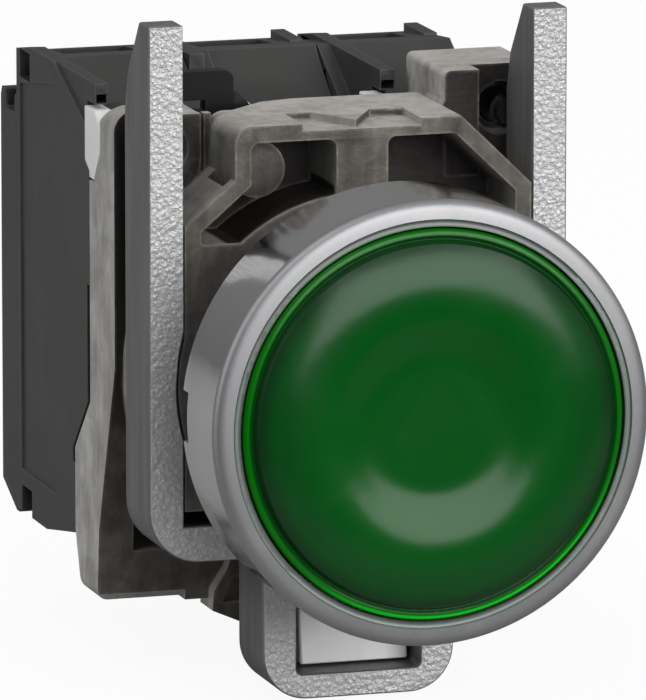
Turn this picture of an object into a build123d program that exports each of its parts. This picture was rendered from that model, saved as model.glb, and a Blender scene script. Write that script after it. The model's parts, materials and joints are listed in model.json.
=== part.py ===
from build123d import *
import os

# Frame: the origin is on the button's axis, in the plane where the bezel seats on the panel.
# +X is to the right seen from the front, +Y runs back through the panel, +Z is up. Millimetres.

# Main sizes. Everything across the button's axis keeps its share of the overall width.
overall_width = 30.0
width_share = overall_width / 30.0
lens_crest_y = -9.55
thinnest_panel = 1.47
yoke_travel = 7.5
yoke_front_y = thinnest_panel + yoke_travel
yoke_arm = 2.45

# Bezel and barrel
lens_rise = 1.45
lens_dome_drop = 0.95
lens_dish_depth = 0.95
lens_wall = 1.1
lens_edge_y = lens_crest_y + lens_rise
lens_dish_y = lens_crest_y + lens_dish_depth
ring_overhang = 0.35
ring_stand = 0.1
ring_round = 0.8
ring_band = 0.2
ring_step = 0.12
ring_radius = overall_width / 2 + ring_overhang
ring_front_y = lens_edge_y - ring_stand
ring_widest_y = ring_front_y + ring_round
ring_rear_y = ring_widest_y + ring_band
ring_crest_radius = 14.08 * width_share
ring_crease_radius = 13.98 * width_share
ring_joint_depth = 0.35
ring_joint_width = 0.12
skirt_inset = 0.05
skirt_radius = ring_radius - skirt_inset
floor_y = -1.5
floor_lip = 0.8
barrel_radius = 11.0 * width_share
bore_radius = 9.3 * width_share
barrel_end_y = 22.2
rear_lip_thickness = 1.8
rear_lip_y = barrel_end_y - rear_lip_thickness
lug_radius = 12.0 * width_share
lug_width = 5.0 * width_share
lug_thickness = 1.0
lug_end_gap = 0.2
skirt_notch_width = 3.5 * width_share
skirt_notch_depth = 1.2
gasket_inner_radius = 11.7 * width_share
gasket_outer_radius = 14.1 * width_share
gasket_thickness = 0.8

# Lens, pusher and return spring
lens_radius = 13.45 * width_share
lens_gap = 0.13
lens_depth = 2.05
lens_bead = 0.45
lens_bead_stand = 0.15
lens_groove = 0.55
lens_rear_y = lens_edge_y + lens_depth
lens_dish_radius = 3.9 * width_share
lens_crest_radius = 8.7 * width_share
plate_gap = 0.2
plate_thickness = 1.3
travel_gap = 0.2
stem_setback = 0.5
pusher_plate_front_y = lens_dish_y + lens_wall + plate_gap
pusher_plate_y = pusher_plate_front_y + plate_thickness
pusher_travel = floor_y - pusher_plate_y - travel_gap
stem_front_y = pusher_plate_y + stem_setback
tube_radius = 7.6 * width_share
tube_wall = 1.4
tube_gap = 0.25
sleeve_wall = 0.65
shoulder_y = -0.5
shoulder_length = 1.2
shoulder_gap = 0.15
leg_reach = 1.2
pusher_rear_y = barrel_end_y + leg_reach
leg_outer_x = 8.8 * width_share
leg_width = 3.0 * width_share
leg_gap = 0.3
leg_front_gap = 0.2
leg_root = 1.0
leg_root_inset = 0.2
leg_inner_x = tube_radius - tube_wall + leg_gap
leg_front_y = rear_lip_y + leg_front_gap
diffuser_thickness = 1.2
diffuser_gap = 0.1
spring_wire_radius = 0.4
spring_turns = 7
spring_end_gap = 0.05

# Fixing collar
yoke_setback = 0.03
yoke_side_gap = 0.1
collar_front_y = yoke_front_y + yoke_setback
collar_half_width = overall_width / 2 - yoke_arm - yoke_side_gap
body_half_width = overall_width / 2
collar_floor_y = 15.2
crown_top_z = 17.9 * width_share
crown_left_x = -8.85 * width_share
crown_right_x = 7.4 * width_share
crown_shoulder_z = 13.0 * width_share
crown_left_foot_z = 14.2 * width_share
crown_left_shoulder_z = 11.2 * width_share
crown_bottom_z = -8.7 * width_share
crown_wall = 1.15
crown_round = 1.2
window_round = 0.6
window_low_z = 9.8 * width_share
window_low_round = 0.4
shoulder_slot_width = 0.6
shoulder_slot_front_y = 10.0
shoulder_slot_rear_y = 13.8
collar_bore_gap = 0.15
hub_wall = 1.75
hub_rear_radius = 14.4 * width_share
hub_step_y = 19.3
collar_rear_y = 24.0
pillar_left_x = -1.6 * width_share
pillar_right_x = 2.1 * width_share
plate_corner_x = -4.2 * width_share
plate_corner_y = 16.0
plate_corner_slope = 2.8
plate_lip = 0.7
rear_opening_z = 9.0 * width_share
top_recess_depth = 0.5
top_recess_left_x = -4.0 * width_share
top_recess_right_x = 4.5 * width_share
top_recess_y = 13.5
index_half_width = 2.1 * width_share
index_tip_y = 9.7
window_boss_x = -6.4 * width_share
window_boss_z = 14.4 * width_share
window_boss_radius = 2.0 * width_share
window_boss_y = 12.0
wall_front_y = 17.7
wall_kink_z = -0.2 * width_share
wall_low_front_y = 21.9
wall_low_z = -12.5 * width_share
wall_bottom_z = -17.65 * width_share
foot_step_half_width = 8.65 * width_share
foot_step_z = -17.9 * width_share
foot_lip = 1.2
foot_lip_z = -13.5 * width_share
wall_foot_rear_y = 28.0
wall_thickness = 1.5
front_plate = 1.6
wall_top_z = 15.6 * width_share
foot_corner = 0.9
body_window_half_width = 12.5 * width_share
body_window_low_z = -14.1 * width_share
body_window_high_z = -11.5 * width_share
boss_right_x = -9.47 * width_share
shoulder_pad_left_x = -9.27 * width_share
shoulder_pad_rear_y = 17.4
boss_low_z = 12.4 * width_share
boss_front_y = 15.2
boss_rear_y = 21.2
boss_round = 2.2
boss_edge_round = 1.5
boss_rear_slope = 1.2
boss_relief_x = -12.9 * width_share
ear_left_x = 8.1 * width_share
ear_step_x = 10.6 * width_share
ear_top_z = 20.0 * width_share
ear_low_z = 12.6 * width_share
ear_front_y = 15.1
ear_step_y = 17.2
ear_rear_y = 24.0
ear_round = 0.45
ear_foot_z = 17.0 * width_share
ear_foot_height = 1.2
ear_foot_flare = 0.4
lower_lug_half_width = 7.0 * width_share
lower_lug_z = -19.43 * width_share
lower_lug_corner_z = -18.55 * width_share
lower_lug_low_half_width = 5.0 * width_share
lower_lug_front_y = 21.0
lower_lug_rear_y = 24.1
lug_recess_depth = 0.7
lug_recess_high_z = -16.2 * width_share
lug_recess_low_z = -17.95 * width_share
lug_recess_high_x = 5.5 * width_share
lug_recess_low_x = 6.3 * width_share
lug_recess_inner_x = 3.4 * width_share
guide_front_y = 11.2
guide_slant = 0.5
guide_height = 3.3

# Clamp yoke and its screws
yoke_thickness = 6.05
yoke_half_width = overall_width / 2
yoke_top_z = 25.17 * width_share
yoke_bar_high_z = -9.78 * width_share
yoke_bar_low_z = -12.3 * width_share
yoke_corner_radius = 3.6
yoke_tip_thickness = 2.3
yoke_taper_z = 20.6 * width_share
loop_half_width = 6.88 * width_share
loop_low_z = -22.45 * width_share
loop_corner_radius = 3.2
loop_wall = 2.4
loop_hole_round = 0.4
loop_base = 1.76
loop_hole_top_z = -15.2 * width_share
guide_side_gap = 0.23
guide_foot_gap = 0.14
guide_half_width = loop_half_width - loop_wall - guide_side_gap
guide_low_z = loop_low_z + loop_base + guide_foot_gap
yoke_hub_gap = 0.15
clamp_screw_radius = 1.25
clamp_screw_gap = 0.06
clamp_screw_nose_radius = 0.95
clamp_screw_nose_length = 0.9
clamp_screw_rear_y = 27.2
clamp_pocket_radius = 1.85
clamp_pocket_end_y = 18.6
left_screw_x = -12.3 * width_share
left_screw_z = 15.6 * width_share
right_screw_x = 12.9 * width_share
right_screw_z = 16.9 * width_share
clamp_screw_tip_gap = 0.1
slot_width = 0.7
slot_depth = 0.9

# Locking ring and lever
lock_seat_gap = 0.25
lock_front_y = hub_step_y + lock_seat_gap
lock_thickness = 1.25
lock_radius = 13.2 * width_share
lock_gap = 0.15
lock_turn = 35.0
lever_left_x = -10.4 * width_share
lever_right_x = -5.85 * width_share
lever_top_z = 20.05 * width_share
lever_low_z = 18.05 * width_share
lever_step_x = -7.9 * width_share
lever_step_z = 17.2 * width_share
lever_corner = 0.6
lever_stem_width = 2.6
lever_tab_width = 1.25
lever_tab_height = 1.25

# Rear blocks, three side by side
block_pitch = overall_width / 3
block_gap = 0.1
block_wall = 1.0
block_front_y = 24.3
block_joint_y = 43.3
cover_depth = 4.4
block_rear_y = block_joint_y + cover_depth
block_top_z = 18.1 * width_share
cover_top_z = 14.9 * width_share
cover_low_z = -13.8 * width_share
block_low_z = -15.3 * width_share
block_step_y = 28.2
block_step_high_z = -3.9 * width_share
block_step_low_z = -7.9 * width_share
belly_length = 7.5
block_belly_z = body_window_low_z + 0.2
fin_thickness = 1.1
fin_inset = 0.2
fin_shift = 0.9
fin_top_z = 18.9 * width_share
fin_front_y = 23.3
middle_fin_front_y = 33.5
fin_tip_height = 1.45
fin_tip_roof = 0.75
fin_tip_wall = 0.08
fin_tip_hole_depth = 2.5
crease_front_z = 15.16 * width_share
crease_rear_y = 33.6
rib_width = 1.0
rib_front_y = 38.5
rib_drop = 0.2
roof_ridge_y = 35.5
roof_ridge_z = 18.8 * width_share
roof_front_z = 12.6 * width_share
roof_hollow_depth = 0.9
roof_hollow_inset = 1.9
side_slot_depth = 1.6
side_slot_front_y = 39.7
side_slot_rear_y = 42.4
top_slot_low_z = 16.35 * width_share
top_slot_high_z = 18.4 * width_share
bottom_slot_z = -13.25 * width_share
panel_recess = 0.15
panel_front_y = 33.2
panel_top_front_z = 17.4 * width_share
panel_top_rear_z = 15.9 * width_share
panel_low_z = -12.1 * width_share
corner_gap_x = 0.8
corner_gap_y = 0.6
corner_gap_high_z = 4.5 * width_share
cover_notch_front_y = 44.0
cover_notch_rear_y = 46.4
cover_notch_z = 13.5 * width_share
cavity_high_z = 13.2 * width_share
cavity_low_z = -13.0 * width_share

# Terminals
terminal_high_z = 10.4 * width_share
terminal_low_z = -10.2 * width_share
pad_y = 38.0
strip_thickness = 0.8
strip_side_gap = 0.05
strip_half_width = (block_pitch - block_gap) / 2 - block_wall - strip_side_gap
pad_inner_reach = 3.0
pad_outer_reach = 2.4
wire_half_width = 2.8
wire_front_y = 38.4
wire_rear_y = 42.8
clamp_travel = 2.5
clamp_open_gap = 0.2
clamp_plate_y = pad_y + strip_thickness + clamp_travel + clamp_open_gap
clamp_plate_thickness = 1.0
clamp_plate_half = 2.6
screw_radius = 1.5
screw_gap = 0.06
screw_head_radius = 2.7
screw_head_length = 2.1
screw_tip_y = 36.2
well_gap = 0.35

# Contact mechanism
plunger_play = 0.15
plunger_y = pusher_rear_y + plunger_play
plunger_inner_x = 6.5 * width_share
plunger_finger = 2.2
plunger_height = 2.8
plunger_finger_end_y = 29.0
carriage_end_y = 32.5
carriage_outer_x = 12.0 * width_share
guide_gap = 0.15
plunger_stem_radius = 0.95
bridge_y = 35.2
bridge_thickness = 0.6
bridge_half_length = 5.0
bridge_half_width = 1.5
bridge_pad_z = 4.0
bridge_pad_radius = 0.9
bridge_pad_height = 0.35
keeper_thickness = 0.7
keeper_radius = 1.5
contact_gap = 0.08
contact_tip_z = 2.9 * width_share

# Light source
lamp_radius = 3.6 * width_share
lamp_tip_y = 5.0
lamp_collar_radius = 4.2 * width_share
board_thickness = 1.2
board_front_y = 26.0
lamp_holder_length = 7.2
board_rear_y = 35.8
board_low_z = -3.2 * width_share
board_step_y = 30.2
feed_front_y = 34.0

# White latch of each block
latch_width = 1.3
latch_rear_y = 25.4
latch_front_y = 21.4
latch_top_z = 17.1 * width_share
latch_shoulder_z = 14.5 * width_share
latch_tip_y = 23.0
latch_tip_z = 12.2 * width_share
latch_clearance = 0.15

# How far a cut runs past the faces it opens
past = 1.0


def box_between(x, y, z):
    """Box given by its low and high value along each axis."""
    size = [high - low for low, high in (x, y, z)]
    centre = [(high + low) / 2 for low, high in (x, y, z)]
    return Pos(*centre) * Box(*size)


def turned(points):
    """Solid of revolution about the Y axis from (radius, y) points."""
    return revolve(make_face(Polyline(*points, close=True)), Axis.Y)


def cylinder_y(x, z, radius, y_low, y_high):
    """Cylinder with its axis along Y."""
    centre = Pos(x, (y_low + y_high) / 2, z)
    return centre * Rot(90, 0, 0) * Cylinder(radius, y_high - y_low)


def front_outline(points, y_low, y_high):
    """Prism of a closed outline of (x, z) points, between two planes across Y."""
    plane = Plane(origin=(0, y_low, 0), x_dir=(1, 0, 0), z_dir=(0, -1, 0))
    return extrude(plane * make_face(Polyline(*points, close=True)), -(y_high - y_low))


def side_outline(points, x_low, x_high):
    """Prism of a closed outline of (y, z) points, between two planes across X."""
    plane = Plane(origin=(x_low, 0, 0), x_dir=(0, 1, 0), z_dir=(1, 0, 0))
    return extrude(plane * make_face(Polyline(*points, close=True)), x_high - x_low)


def edges_along(solid, axis, low, high):
    """Edges parallel to an axis whose centre lies between two corners."""
    chosen = []
    for edge in solid.edges().filter_by(axis):
        centre = edge.center()
        spot = (centre.X, centre.Y, centre.Z)
        if all(a - 1e-3 <= s <= b + 1e-3 for a, s, b in zip(low, spot, high)):
            chosen.append(edge)
    return chosen


def coil(x, z, mean_radius, wire_radius, y_low, y_high, turns):
    """Open coil spring about an axis along Y, its wire kept between two planes."""
    height = y_high - y_low - 2 * wire_radius
    path = Helix(pitch=height / turns, height=height, radius=mean_radius)
    section = Plane(origin=path @ 0, z_dir=path % 0) * Circle(wire_radius)
    spring = sweep(section, path=path)
    return Pos(x, y_low + wire_radius, z) * Rot(-90, 0, 0) * spring


def front_ring():
    """Satin ring that frames the lens."""
    inner = lens_radius + lens_gap
    crease_y = ring_front_y + ring_step
    outside = Spline(
        (ring_radius, ring_widest_y),
        (ring_crest_radius, ring_front_y),
        tangents=[(0, -1), (-1, -0.12)],
    )
    step = Line((ring_crest_radius, ring_front_y), (ring_crease_radius, crease_y))
    band = ThreePointArc(
        (ring_crease_radius, crease_y),
        ((ring_crease_radius + inner) / 2, crease_y + ring_step / 3),
        (inner, crease_y - ring_step / 2),
    )
    neck = ring_radius - ring_joint_depth
    back = Polyline(
        (inner, crease_y - ring_step / 2),
        (inner, ring_rear_y),
        (neck, ring_rear_y),
        (neck, ring_rear_y - ring_joint_width),
        (ring_radius, ring_rear_y - ring_joint_width),
        (ring_radius, ring_widest_y),
    )
    return revolve(make_face(outside + step + band + back), Axis.Y)


def bezel():
    """Chromed skirt and barrel in one casting, with two bayonet lugs at the back."""
    cavity = lens_radius + lens_gap
    lip = tube_radius + tube_gap
    body = turned(
        [
            (cavity, ring_rear_y),
            (skirt_radius, ring_rear_y),
            (skirt_radius, 0),
            (gasket_outer_radius, 0),
            (gasket_outer_radius, -gasket_thickness),
            (gasket_inner_radius, -gasket_thickness),
            (gasket_inner_radius, 0),
            (barrel_radius, 0),
            (barrel_radius, barrel_end_y),
            (lip, barrel_end_y),
            (lip, rear_lip_y),
            (bore_radius, rear_lip_y),
            (bore_radius, floor_y + floor_lip),
            (lip, floor_y + floor_lip),
            (lip, floor_y),
            (cavity, floor_y),
        ]
    )
    half_slot = leg_width / 2 + leg_gap
    reach = leg_outer_x + leg_gap
    body -= box_between(
        (-reach, reach), (rear_lip_y - 0.1, barrel_end_y + 0.1), (-half_slot, half_slot)
    )
    lug_rear = barrel_end_y - lug_end_gap
    lugs = turned(
        [
            (barrel_radius - 0.5, lug_rear - lug_thickness),
            (lug_radius, lug_rear - lug_thickness),
            (lug_radius, lug_rear),
            (barrel_radius - 0.5, lug_rear),
        ]
    )
    span = (lug_rear - lug_thickness, lug_rear)
    keep = box_between((-lug_width / 2, lug_width / 2), span, (-lug_radius, lug_radius))
    body += lugs & keep
    half_notch = skirt_notch_width / 2
    inside = (skirt_radius + gasket_outer_radius) / 2
    for side in (-1, 1):
        x = sorted((side * inside, side * (skirt_radius + past)))
        body -= box_between(x, (-skirt_notch_depth, 1), (-half_notch, half_notch))
    return body


def seat_gasket():
    """Flat seal in the groove of the bezel's seat, drawn pressed flush by the panel."""
    return turned(
        [
            (gasket_inner_radius, -gasket_thickness),
            (gasket_outer_radius, -gasket_thickness),
            (gasket_outer_radius, 0),
            (gasket_inner_radius, 0),
        ]
    )


def lens_cap():
    """Dished translucent cap with a raised bead round its edge."""
    dish = Line((0, lens_dish_y), (lens_dish_radius, lens_dish_y))
    slope = Spline(
        (lens_dish_radius, lens_dish_y),
        (lens_crest_radius, lens_crest_y),
        tangents=[(1, 0), (1, 0)],
    )
    bead_radius = lens_radius - lens_bead
    dome_radius = bead_radius - lens_groove
    dome_edge_y = lens_crest_y + lens_dome_drop
    dome = Spline(
        (lens_crest_radius, lens_crest_y),
        (dome_radius, dome_edge_y),
        tangents=[(1, 0), (2, 1)],
    )
    groove = Spline(
        (dome_radius, dome_edge_y),
        (dome_radius + lens_groove * 0.55, lens_edge_y),
        (bead_radius, lens_edge_y - lens_bead_stand),
        tangents=[(1, 1.6), (1, -0.3)],
    )
    bead = Spline(
        (bead_radius, lens_edge_y - lens_bead_stand),
        (lens_radius, lens_edge_y + lens_bead - lens_bead_stand),
        tangents=[(1, 0), (0, 1)],
    )
    rim_inner = lens_radius - lens_wall + 0.1
    inside = Polyline(
        (lens_radius, lens_edge_y + lens_bead - lens_bead_stand),
        (lens_radius, lens_rear_y),
        (rim_inner, lens_rear_y),
        (rim_inner, lens_edge_y + lens_wall - 0.4),
        (lens_crest_radius, lens_crest_y + lens_wall),
        (lens_dish_radius, lens_dish_y + lens_wall),
        (0, lens_dish_y + lens_wall),
        (0, lens_dish_y),
    )
    return revolve(make_face(dish + slope + dome + groove + bead + inside), Axis.Y)


def pusher_head():
    """Round plate that carries the lens, with a sleeve for the stem."""
    rim = lens_radius - lens_wall
    sleeve_inner = tube_radius - sleeve_wall
    sleeve_rear = shoulder_y
    return turned(
        [
            (sleeve_inner, pusher_plate_front_y),
            (rim, pusher_plate_front_y),
            (rim, pusher_plate_y),
            (tube_radius, pusher_plate_y),
            (tube_radius, sleeve_rear),
            (sleeve_inner, sleeve_rear),
        ]
    )


def pusher_stem():
    """Tube that slides in the barrel and ends in two legs that press the side blocks."""
    inner = tube_radius - tube_wall
    spigot = tube_radius - sleeve_wall
    shoulder_radius = bore_radius - shoulder_gap
    shoulder_rear = shoulder_y + shoulder_length
    tube_rear_y = block_front_y - pusher_travel - leg_gap
    stem = turned(
        [
            (inner, stem_front_y),
            (spigot, stem_front_y),
            (spigot, shoulder_y),
            (shoulder_radius, shoulder_y),
            (shoulder_radius, shoulder_rear),
            (tube_radius, shoulder_rear),
            (tube_radius, tube_rear_y),
            (inner, tube_rear_y),
        ]
    )
    width = (-leg_width / 2, leg_width / 2)
    for side in (-1, 1):
        root = sorted((side * leg_inner_x, side * (tube_radius - leg_root_inset)))
        foot = sorted((side * leg_inner_x, side * leg_outer_x))
        stem += box_between(root, (tube_rear_y - leg_root, pusher_rear_y), width)
        stem += box_between(foot, (leg_front_y, pusher_rear_y), width)
    return stem


def diffuser():
    """White disc in the pusher's sleeve that spreads the lamp's light."""
    radius = tube_radius - sleeve_wall - diffuser_gap
    rear = stem_front_y
    return turned(
        [
            (0, rear - diffuser_thickness),
            (radius - 0.8, rear - diffuser_thickness),
            (radius, rear - diffuser_thickness + 0.5),
            (radius, rear),
            (0, rear),
        ]
    )


def return_spring():
    """Coil that brings the pusher forward, between its shoulder and the barrel's rear lip."""
    mean = (tube_radius + bore_radius) / 2
    front = shoulder_y + shoulder_length + spring_end_gap
    rear = rear_lip_y - spring_end_gap
    return coil(0, 0, mean, spring_wire_radius, front, rear, spring_turns)


def crown_outline(inset):
    """Front view of the crown, drawn inwards by a distance."""
    diagonal = 0.414 * inset
    return [
        (crown_left_x + inset, crown_top_z - inset),
        (crown_right_x - diagonal, crown_top_z - inset),
        (collar_half_width - inset, crown_shoulder_z - diagonal),
        (collar_half_width - inset, crown_bottom_z + inset),
        (-collar_half_width + inset, crown_bottom_z + inset),
        (-collar_half_width + inset, crown_left_shoulder_z - diagonal),
        (crown_left_x + inset, crown_left_foot_z - 0.35 * inset),
    ]


def wall_profile():
    """Side view of the collar's rear housing, as (y, z) points."""
    top = wall_top_z
    return [
        (wall_front_y, top),
        (wall_front_y, wall_kink_z),
        (wall_low_front_y, wall_low_z),
        (wall_low_front_y + 0.4, wall_bottom_z + 0.5),
        (wall_low_front_y + 0.9, wall_bottom_z),
        (wall_foot_rear_y - 1.5, wall_bottom_z),
        (wall_foot_rear_y, body_window_low_z + 0.5),
        (wall_foot_rear_y, block_step_low_z + 0.2),
        (collar_rear_y, block_step_high_z + 0.2),
        (collar_rear_y, latch_tip_z - latch_clearance),
        (latch_tip_y - latch_clearance, latch_tip_z - latch_clearance),
        (latch_front_y - latch_clearance, latch_shoulder_z - latch_clearance),
        (latch_front_y - latch_clearance, top),
    ]


def housing_shell():
    """Rear part of the collar: two side walls, a front plate that slopes back, and a foot."""
    profile = wall_profile()
    hollow = [
        (wall_front_y + front_plate, wall_top_z + 5),
        (wall_front_y + front_plate, wall_kink_z),
        (wall_low_front_y + front_plate, wall_low_z),
        (wall_low_front_y + front_plate + 0.4, body_window_low_z),
        (wall_foot_rear_y + past, body_window_low_z),
        (wall_foot_rear_y + past, wall_top_z + 5),
    ]
    shell = side_outline(profile, -body_half_width, body_half_width)
    inside = body_half_width - wall_thickness
    shell -= side_outline(hollow, -inside, inside)
    lip = (wall_foot_rear_y - foot_lip, wall_foot_rear_y)
    shell += box_between((-inside - 0.1, inside + 0.1), lip, (body_window_low_z - 0.1, foot_lip_z))
    half = body_window_half_width
    y_window = (wall_front_y, wall_low_front_y + front_plate + past)
    shell -= box_between((-half, half), y_window, (body_window_low_z, body_window_high_z))
    corners = edges_along(
        shell,
        Axis.Y,
        (-body_half_width, wall_low_front_y, wall_bottom_z),
        (body_half_width, wall_foot_rear_y, wall_bottom_z),
    )
    return fillet(corners, foot_corner)


def crown_windows():
    """Hollow of the crown on both sides of its pillar, with rounded upper corners."""
    front = collar_front_y - past
    hollow = front_outline(crown_outline(crown_wall), front, collar_floor_y)
    hollow -= box_between(
        (pillar_left_x, pillar_right_x), (front, collar_floor_y), (barrel_radius, crown_top_z)
    )
    hollow -= box_between(
        (-collar_half_width, 0), (front, collar_floor_y), (crown_bottom_z, window_low_z)
    )
    low = (crown_left_x, front, crown_left_foot_z)
    corners = edges_along(hollow, Axis.Y, low, (crown_right_x, collar_floor_y, crown_top_z))
    hollow = fillet(corners, window_round)
    low = (-collar_half_width, front, window_low_z)
    end = edges_along(hollow, Axis.Y, low, (crown_left_x, collar_floor_y, window_low_z))
    return fillet(end, window_low_round)


def shoulder_slot():
    """Slot through the crown's left shoulder, at the foot of its upright wall."""
    return box_between(
        (crown_left_x - shoulder_slot_width, crown_left_x),
        (shoulder_slot_front_y, shoulder_slot_rear_y),
        (crown_left_shoulder_z, crown_left_foot_z + past),
    )


def crown():
    """Front frame of the collar with its hub, pillar and window floor."""
    frame = front_outline(crown_outline(0), collar_front_y, hub_step_y)
    corner = (crown_left_x, collar_front_y, crown_top_z)
    frame = fillet(edges_along(frame, Axis.Y, corner, (crown_left_x, hub_step_y, crown_top_z)), crown_round)
    frame -= crown_windows()
    hub = barrel_radius + collar_bore_gap + hub_wall
    frame += cylinder_y(0, 0, hub, collar_front_y, collar_floor_y + 0.5)
    frame += cylinder_y(
        window_boss_x, window_boss_z, window_boss_radius, window_boss_y, collar_floor_y + 0.5
    )
    return frame


def index_recess():
    """Shallow recess in the top of the crown, with a tooth that marks the centre."""
    high = crown_top_z + past
    y_range = (collar_front_y - past, top_recess_y)
    low = crown_top_z - top_recess_depth
    recess = box_between((top_recess_left_x, top_recess_right_x), y_range, (low, high))
    tooth = Plane.XY.offset(low - past) * make_face(
        Polyline(
            (-index_half_width, top_recess_y),
            (0, index_tip_y),
            (index_half_width, top_recess_y),
            close=True,
        )
    )
    return recess - extrude(tooth, high - low + 2)


def left_boss():
    """Rounded boss for the left clamp screw, cut back behind the yoke's arm."""
    boss = side_outline(
        [
            (boss_front_y, boss_low_z),
            (boss_front_y, crown_top_z),
            (boss_rear_y - boss_rear_slope, crown_top_z),
            (boss_rear_y, crown_top_z - boss_rear_slope),
            (boss_rear_y, boss_low_z),
        ],
        -body_half_width,
        boss_right_x,
    )
    boss -= box_between(
        (-body_half_width - past, boss_relief_x),
        (boss_front_y - past, wall_front_y),
        (boss_low_z - past, crown_top_z + past),
    )
    low = (boss_right_x, boss_front_y, boss_low_z)
    high = (boss_right_x, boss_rear_y, boss_low_z)
    boss = fillet(edges_along(boss, Axis.Y, low, high), boss_round)
    low = (-body_half_width, boss_front_y, crown_top_z)
    high = (-body_half_width, boss_rear_y, crown_top_z)
    return fillet(edges_along(boss, Axis.Y, low, high), boss_edge_round)


def shoulder_pad():
    """Narrow pad beside the crown, parted from the left boss by a thin slit."""
    return box_between(
        (shoulder_pad_left_x, crown_left_x + 0.1),
        (boss_front_y, shoulder_pad_rear_y),
        (crown_left_foot_z - 0.5, crown_top_z),
    )


def right_ear():
    """Stepped ear for the right clamp screw, with a rounded edge and a flared foot."""
    ear = box_between((ear_left_x, ear_step_x), (ear_front_y, ear_rear_y), (ear_low_z, ear_top_z))
    low = (ear_left_x, ear_front_y, ear_top_z)
    ear = fillet(edges_along(ear, Axis.Y, low, (ear_left_x, ear_rear_y, ear_top_z)), ear_round)
    ear += box_between(
        (ear_step_x - 0.1, body_half_width), (ear_step_y, ear_rear_y), (ear_low_z, ear_top_z)
    )
    flare = [
        (ear_left_x + 0.1, ear_foot_z),
        (ear_left_x - ear_foot_flare, ear_foot_z),
        (ear_left_x - 0.6 * ear_foot_flare, ear_foot_z + 0.45 * ear_foot_height),
        (ear_left_x - 0.2 * ear_foot_flare, ear_foot_z + 0.7 * ear_foot_height),
        (ear_left_x + 0.1, ear_foot_z + ear_foot_height),
    ]
    return ear + front_outline(flare, ear_front_y, hub_step_y)


def foot_lug():
    """Lug under the collar's foot that carries the tongue, with a recess on each side."""
    half = lower_lug_half_width
    low_half = lower_lug_low_half_width
    flare_high_z = lug_recess_high_z + 1.3
    outline = [
        (-half + 1.3, flare_high_z),
        (-half + 1.1, lug_recess_high_z + 0.7),
        (-half + 0.5, lug_recess_high_z - 0.3),
        (-half + 0.1, lug_recess_high_z - 0.95),
        (-half, lower_lug_corner_z),
        (-low_half, lower_lug_z),
        (low_half, lower_lug_z),
        (half, lower_lug_corner_z),
        (half - 0.1, lug_recess_high_z - 0.95),
        (half - 0.5, lug_recess_high_z - 0.3),
        (half - 1.1, lug_recess_high_z + 0.7),
        (half - 1.3, flare_high_z),
    ]
    lug = front_outline(outline, lower_lug_front_y, lower_lug_rear_y)
    lug += box_between(
        (-foot_step_half_width, foot_step_half_width),
        (wall_low_front_y + 0.4, lower_lug_rear_y),
        (foot_step_z, wall_bottom_z + 0.5),
    )
    for side in (-1, 1):
        recess = [
            (side * lug_recess_inner_x, lug_recess_high_z),
            (side * lug_recess_high_x, lug_recess_high_z),
            (side * lug_recess_low_x, lug_recess_low_z),
            (side * lug_recess_inner_x, lug_recess_low_z),
        ]
        depth = lower_lug_front_y + lug_recess_depth
        lug -= front_outline(recess, lower_lug_front_y - past, depth)
    return lug


def collar_body():
    """Die cast collar behind the panel: crown, hub, housing, screw bosses and foot lug."""
    body = crown()
    body += housing_shell()
    body += cylinder_y(0, 0, hub_rear_radius, collar_floor_y, collar_rear_y)
    body += left_boss()
    body += shoulder_pad()
    body += right_ear()
    body += foot_lug()
    body -= index_recess()
    body -= shoulder_slot()
    body -= cylinder_y(
        0, 0, barrel_radius + collar_bore_gap, collar_front_y - past, hub_step_y + past
    )
    body -= cylinder_y(0, 0, lock_radius + lock_gap, hub_step_y, wall_foot_rear_y + past)
    body -= box_between(
        (boss_right_x + lock_gap, ear_left_x),
        (hub_step_y, collar_rear_y + past),
        (rear_opening_z, ear_top_z),
    )
    corner = Plane.XY.offset(barrel_radius) * make_face(
        Polyline(
            (crown_left_x - plate_lip, plate_corner_y),
            (plate_corner_x - plate_corner_slope, plate_corner_y),
            (plate_corner_x, hub_step_y - plate_lip),
            (plate_corner_x + plate_corner_slope, hub_step_y + 0.1),
            (crown_left_x - plate_lip, hub_step_y + 0.1),
            close=True,
        )
    )
    body -= extrude(corner, crown_top_z - barrel_radius + past)
    front = boss_front_y - past
    for x, height in ((left_screw_x, left_screw_z), (right_screw_x, right_screw_z)):
        body -= cylinder_y(x, height, clamp_screw_radius + clamp_screw_gap, front, wall_foot_rear_y)
        body -= cylinder_y(x, height, clamp_pocket_radius, front, clamp_pocket_end_y)
    return body


def yoke_guide():
    """Smooth tongue on the collar's foot that the yoke's loop slides over."""
    top = lower_lug_z + guide_height
    half = guide_half_width
    outline = [
        (-half + guide_slant, top),
        (half, top),
        (half, guide_low_z),
        (-half + guide_slant + 0.2, guide_low_z),
    ]
    return front_outline(outline, guide_front_y, lower_lug_front_y)


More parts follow.
